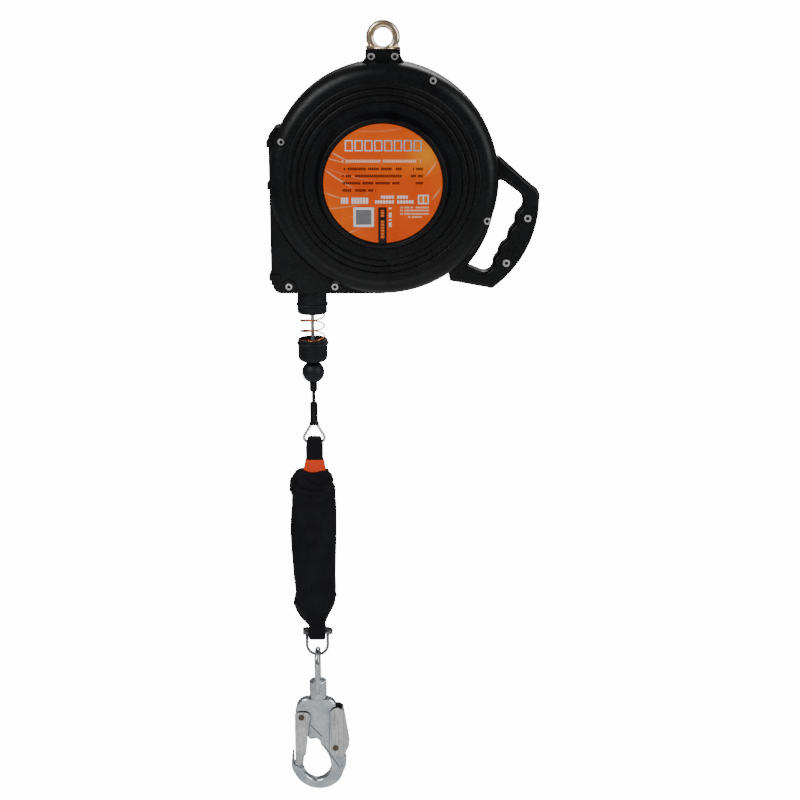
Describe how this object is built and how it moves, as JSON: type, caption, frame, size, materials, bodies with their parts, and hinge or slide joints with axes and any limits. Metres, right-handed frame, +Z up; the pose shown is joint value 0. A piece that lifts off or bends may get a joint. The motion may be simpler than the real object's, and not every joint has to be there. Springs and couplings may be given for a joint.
{
  "type": "self retracting lifeline",
  "caption": "Round-housed self retracting lifeline with an anchor eye, carrying handle, spring bumper, pouched energy absorber and swivel snap hook.",
  "frame": {"origin": "centre of the hole in the anchor eye", "axes": "+Z up, +X right as seen from the front, -Y towards the front label; the drum turns about a line along Y below the origin"},
  "size_m": [0.332, 0.116, 1.0211],
  "materials": {
    "black_nylon": "moulded black nylon with a fine grain and slight wear on the edges",
    "rubber": "moulded black rubber, satin",
    "label_film": null,
    "zinc_screws": "bright zinc plate",
    "yellow_zinc": "yellow passivated zinc plate with a faint rainbow tint",
    "plated_steel": "zinc-plated sheet steel",
    "spring_steel": "copper-coloured passivated spring wire",
    "friction_lining": "brake lining",
    "cast_aluminium": "cast aluminium",
    "bronze": "sintered bronze",
    "cable": "galvanised wire rope, stranded",
    "black_steel": "black oxide steel",
    "bright_steel": "bright zinc-plated steel",
    "hook_steel": "zinc-plated forged and pressed steel",
    "black_webbing": "woven polyester webbing",
    "orange_webbing": "orange-red tear webbing",
    "black_fabric": "black coated nylon cloth"
  },
  "bodies": {
    "anchor": {"anchor_eye": "yellow_zinc", "eye_washer": "plated_steel", "eye_nut": "plated_steel"},
    "housing": {"front_shell": "black_nylon", "rear_shell": "black_nylon", "side_cover": "black_nylon", "front_label": "label_film", "rear_label": "label_film", "rim_screws": "zinc_screws", "neck_screws": "zinc_screws", "handle_screws": "zinc_screws", "rear_nuts": "zinc_screws", "yoke_block": "plated_steel", "yoke_bolts": "plated_steel", "front_frame_plate": "plated_steel", "rear_frame_plate": "plated_steel", "main_shaft": "plated_steel", "shaft_nuts": "plated_steel", "brake_linings": "friction_lining", "brake_clamp_ring": "plated_steel", "brake_bolts": "plated_steel", "spring_arbor": "plated_steel", "power_spring": "spring_steel", "spring_cover": "cast_aluminium", "upper_bumper": "rubber", "cable_guide": "black_nylon", "bumper_spring": "spring_steel"},
    "brake_ring": {"ratchet_ring": "plated_steel"},
    "drum": {"drum_core": "cast_aluminium", "pawl_pins": "plated_steel", "drum_bush": "bronze", "drum_front_flange": "plated_steel", "drum_rear_flange": "plated_steel", "cable_winding": "cable", "cable_anchor": "plated_steel"},
    "pawl_a": {"pawl_1": "plated_steel"},
    "pawl_b": {"pawl_2": "plated_steel"},
    "pawl_c": {"pawl_3": "plated_steel"},
    "bumper": {"lower_bumper": "rubber", "bumper_washer": "plated_steel"},
    "line_end": {"stop_ball": "rubber", "ball_collar": "black_steel", "lifeline_cable": "cable", "swage_sleeve": "black_steel", "end_loop": "bright_steel"},
    "absorber": {"upper_strap": "black_webbing", "tear_pack": "orange_webbing", "pouch": "black_fabric", "lower_strap": "black_webbing"},
    "shackle": {"shackle_bow": "bright_steel", "shackle_pin": "bright_steel", "shackle_nut": "bright_steel", "split_pin": "bright_steel"},
    "swivel_eye": {"swivel_bail": "bright_steel", "swivel_barrel": "bright_steel"},
    "hook": {"swivel_stud": "bright_steel", "hook_body": "hook_steel", "hook_rivets": "hook_steel"},
    "gate": {"hook_gate": "hook_steel"},
    "lever": {"lock_lever": "hook_steel"}
  },
  "joints": [
    {"name": "housing_swivel", "type": "hinge", "parent": "anchor", "child": "housing", "pos_m": [0, 0, 0], "axis": [0, 0, 1], "continuous": true},
    {"name": "brake_slip", "type": "hinge", "parent": "housing", "child": "brake_ring", "pos_m": [0, 0, -0.167], "axis": [0, -1, 0], "continuous": true},
    {"name": "drum_spin", "type": "hinge", "parent": "housing", "child": "drum", "pos_m": [0, 0, -0.167], "axis": [0, -1, 0], "range_deg": [0, 10711]},
    {"name": "pawl_a_swing", "type": "hinge", "parent": "drum", "child": "pawl_a", "pos_m": [0, 0, -0.123], "axis": [0, 1, 0], "range_deg": [0, 19], "stiffness_Nm_per_rad": 0.002, "springref_deg": -11.46},
    {"name": "pawl_b_swing", "type": "hinge", "parent": "drum", "child": "pawl_b", "pos_m": [-0.0381, 0, -0.189], "axis": [0, 1, 0], "range_deg": [0, 19]},
    {"name": "pawl_c_swing", "type": "hinge", "parent": "drum", "child": "pawl_c", "pos_m": [0.0381, 0, -0.189], "axis": [0, 1, 0], "range_deg": [0, 19]},
    {"name": "bumper_slide", "type": "slide", "parent": "housing", "child": "bumper", "axis": [0, 0, 1], "range_m": [0, 0.024], "stiffness_N_per_m": 400, "springref_m": -0.05, "deforming": ["bumper_spring"]},
    {"name": "payout", "type": "slide", "parent": "bumper", "child": "line_end", "axis": [0, 0, -1], "range_m": [0, 15], "stiffness_N_per_m": 2.3, "springref_m": -10.9},
    {"name": "absorber_swing", "type": "hinge", "parent": "line_end", "child": "absorber", "pos_m": [-0.0895, 0, -0.5072], "axis": [1, 0, 0], "range_deg": [-70, 70]},
    {"name": "shackle_swing", "type": "hinge", "parent": "absorber", "child": "shackle", "pos_m": [-0.0895, 0, -0.7703], "axis": [1, 0, 0], "range_deg": [-60, 60]},
    {"name": "bail_swing", "type": "hinge", "parent": "shackle", "child": "swivel_eye", "pos_m": [-0.0895, 0, -0.78995], "axis": [0, 1, 0], "range_deg": [-20, 20]},
    {"name": "hook_swivel", "type": "hinge", "parent": "swivel_eye", "child": "hook", "pos_m": [-0.0895, 0, -0.8663], "axis": [0, 0, 1], "continuous": true},
    {"name": "gate_open", "type": "hinge", "parent": "hook", "child": "gate", "pos_m": [-0.1121, 0, -0.8926], "axis": [0, -1, 0], "range_deg": [0, 22], "stiffness_Nm_per_rad": 0.08, "springref_deg": -34.38},
    {"name": "lever_press", "type": "hinge", "parent": "hook", "child": "lever", "pos_m": [-0.0667, 0, -0.9373], "axis": [0, -1, 0], "range_deg": [0, 6.5], "stiffness_Nm_per_rad": 0.3, "springref_deg": -17.19}
  ],
  "couplings": [
    {"joint": "drum_spin", "follows": "payout", "rad_per_m": 12.462},
    {"joint": "pawl_b_swing", "follows": "pawl_a_swing", "ratio": 1},
    {"joint": "pawl_c_swing", "follows": "pawl_a_swing", "ratio": 1}
  ]
}
